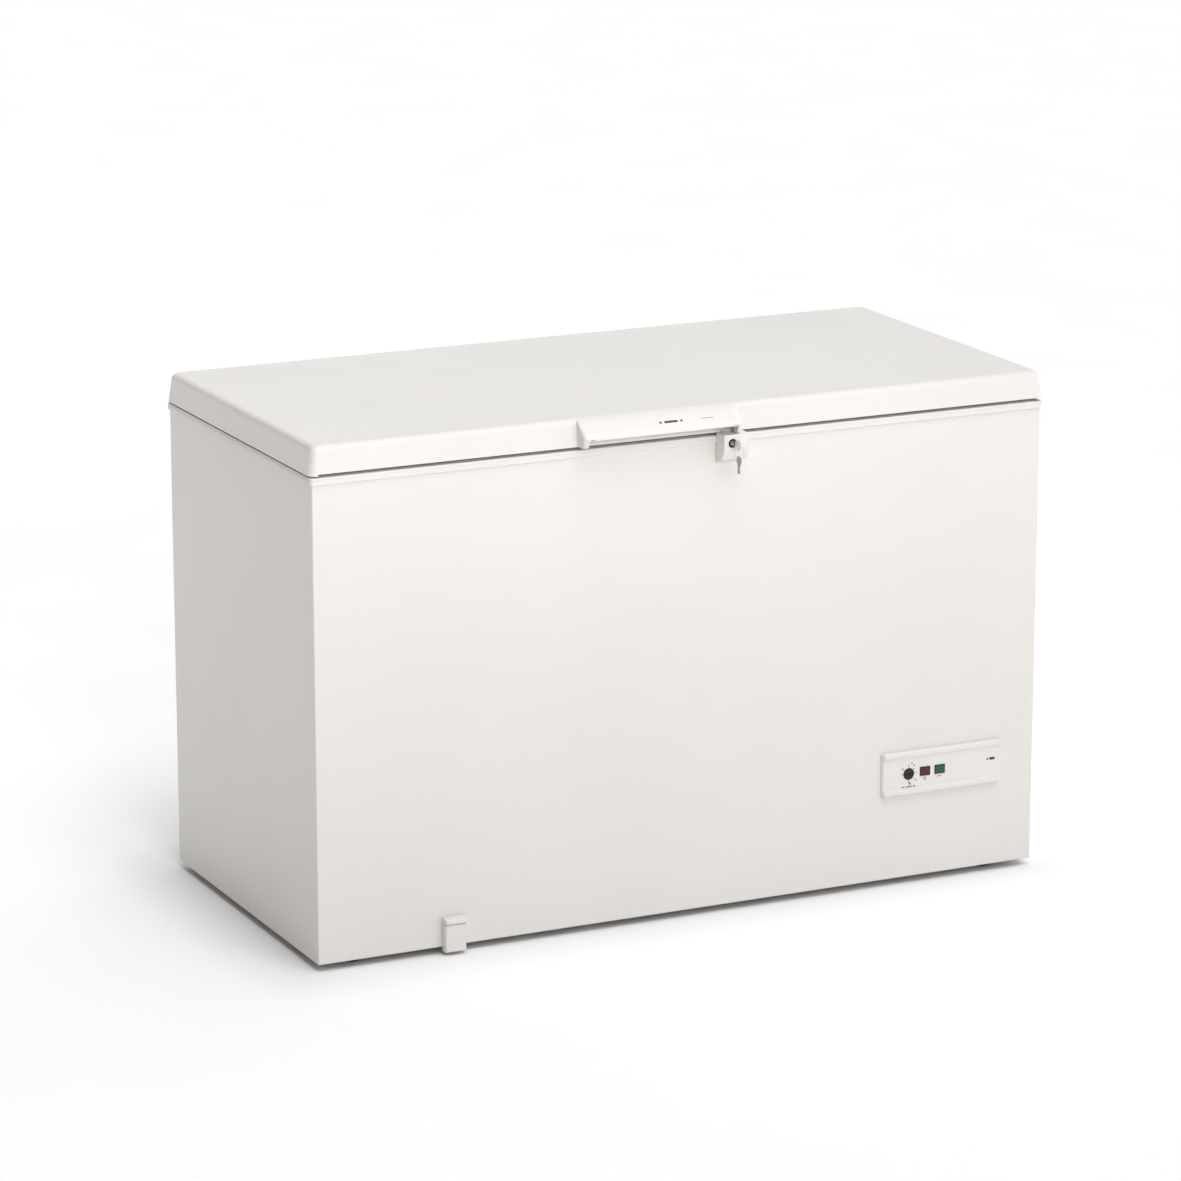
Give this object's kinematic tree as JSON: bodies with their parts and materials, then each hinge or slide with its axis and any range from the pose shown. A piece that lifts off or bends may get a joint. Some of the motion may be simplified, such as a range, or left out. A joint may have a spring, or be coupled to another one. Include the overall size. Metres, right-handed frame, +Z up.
{
  "type": "chest freezer",
  "caption": "Wide white chest freezer with an insulated top lid on rear hinges, a visor handle, a front lock with keys, a low control panel, a drain and hanging baskets.",
  "frame": {"origin": "on the floor, at the centre of the overall bounding box", "axes": "+Z up, front towards -Y, +X to the freezer's right-hand end as seen from the front"},
  "size_m": [1.405, 0.7374, 0.916],
  "materials": {
    "enamel": "gloss white enamel",
    "galvanised": "zinc-coated sheet",
    "foam": "matt foam",
    "liner_white": "painted embossed sheet",
    "trim_plastic": "satin off-white",
    "white_plastic": "semi-gloss white",
    "gasket": "soft matt grey",
    "copper": "drawn tube",
    "black_enamel": "semi-gloss black",
    "rubber": "matt black",
    "black_plastic": "satin black",
    "steel": "bright steel",
    "red_lens": "dark red clear lens",
    "green_lens": "dark green clear lens",
    "coated_wire": "white plastic-coated wire"
  },
  "bodies": {
    "cabinet": {"back_panel": "galvanised", "base_panel": "galvanised", "bay_liner": "galvanised", "cabinet_foam": "foam", "capillary_tube": "copper", "compressor": "black_enamel", "compressor_mount_1": "rubber", "compressor_mount_2": "rubber", "compressor_mount_3": "rubber", "compressor_mount_4": "rubber", "compressor_tray": "galvanised", "condenser_coil": "copper", "control_bezel": "white_plastic", "cord_gland": "black_plastic", "discharge_tube": "copper", "drain_tube": "white_plastic", "evaporator_coil": "copper", "filter_drier": "copper", "foot_back_left": "black_plastic", "foot_back_right": "black_plastic", "foot_front_left": "black_plastic", "foot_front_right": "black_plastic", "front_panel": "enamel", "green_signal_lamp": "green_lens", "grille_screw_1": "steel", "grille_screw_2": "steel", "hinge_bracket_left": "galvanised", "hinge_bracket_right": "galvanised", "hinge_pin_left": "steel", "hinge_pin_right": "steel", "hinge_spring_left": "steel", "hinge_spring_right": "steel", "inner_liner": "liner_white", "left_side_panel": "enamel", "lock_housing": "white_plastic", "rear_grille": "black_plastic", "red_signal_lamp": "red_lens", "relay_cover": "black_plastic", "right_side_panel": "enamel", "rim_frame": "trim_plastic", "suction_tube": "copper", "thermostat": "steel"},
    "lid": {"lid_skin": "enamel", "lid_foam": "foam", "lid_liner": "white_plastic", "lid_gasket": "gasket", "lid_handle": "white_plastic", "lock_striker": "steel", "hinge_leaf_left": "galvanised", "hinge_leaf_right": "galvanised"},
    "thermostat_knob": {"thermostat_knob": "black_plastic"},
    "lock": {"lock_cylinder": "steel", "lock_cam": "steel", "key": "steel"},
    "key_ring": {"key_ring": "steel"},
    "spare_key": {"spare_key": "steel"},
    "drain_cover": {"drain_cover": "white_plastic"},
    "drain_plug": {"drain_plug": "rubber"},
    "left_basket": {"left_basket": "coated_wire"},
    "right_basket": {"right_basket": "coated_wire"}
  },
  "joints": [
    {"name": "lid_hinge", "type": "hinge", "parent": "cabinet", "child": "lid", "pos_m": [0, 0.36275, 0.8665], "axis": [-1, 0, 0], "range_deg": [0, 80]},
    {"name": "thermostat_knob_turn", "type": "hinge", "parent": "cabinet", "child": "thermostat_knob", "pos_m": [0.4395, -0.30375, 0.207], "axis": [0, -1, 0], "range_deg": [0, 270]},
    {"name": "lock_turn", "type": "hinge", "parent": "cabinet", "child": "lock", "pos_m": [0.068, -0.30375, 0.8528], "axis": [0, -1, 0], "range_deg": [0, 90]},
    {"name": "key_ring_swing", "type": "hinge", "parent": "lock", "child": "key_ring", "pos_m": [0.068, -0.36095, 0.8528], "axis": [1, 0, 0], "range_deg": [-40, 15]},
    {"name": "spare_key_swing", "type": "hinge", "parent": "key_ring", "child": "spare_key", "pos_m": [0.068, -0.36095, 0.8322], "axis": [1, 0, 0], "range_deg": [-30, 20]},
    {"name": "drain_cover_pull", "type": "slide", "parent": "cabinet", "child": "drain_cover", "axis": [0, -1, 0], "range_m": [0, 0.045]},
    {"name": "drain_plug_lift", "type": "slide", "parent": "cabinet", "child": "drain_plug", "axis": [0, 0, 1], "range_m": [0, 0.04]},
    {"name": "left_basket_slide", "type": "slide", "parent": "cabinet", "child": "left_basket", "axis": [1, 0, 0], "range_m": [0, 0.3]},
    {"name": "right_basket_slide", "type": "slide", "parent": "cabinet", "child": "right_basket", "axis": [-1, 0, 0], "range_m": [0, 0.3]}
  ]
}
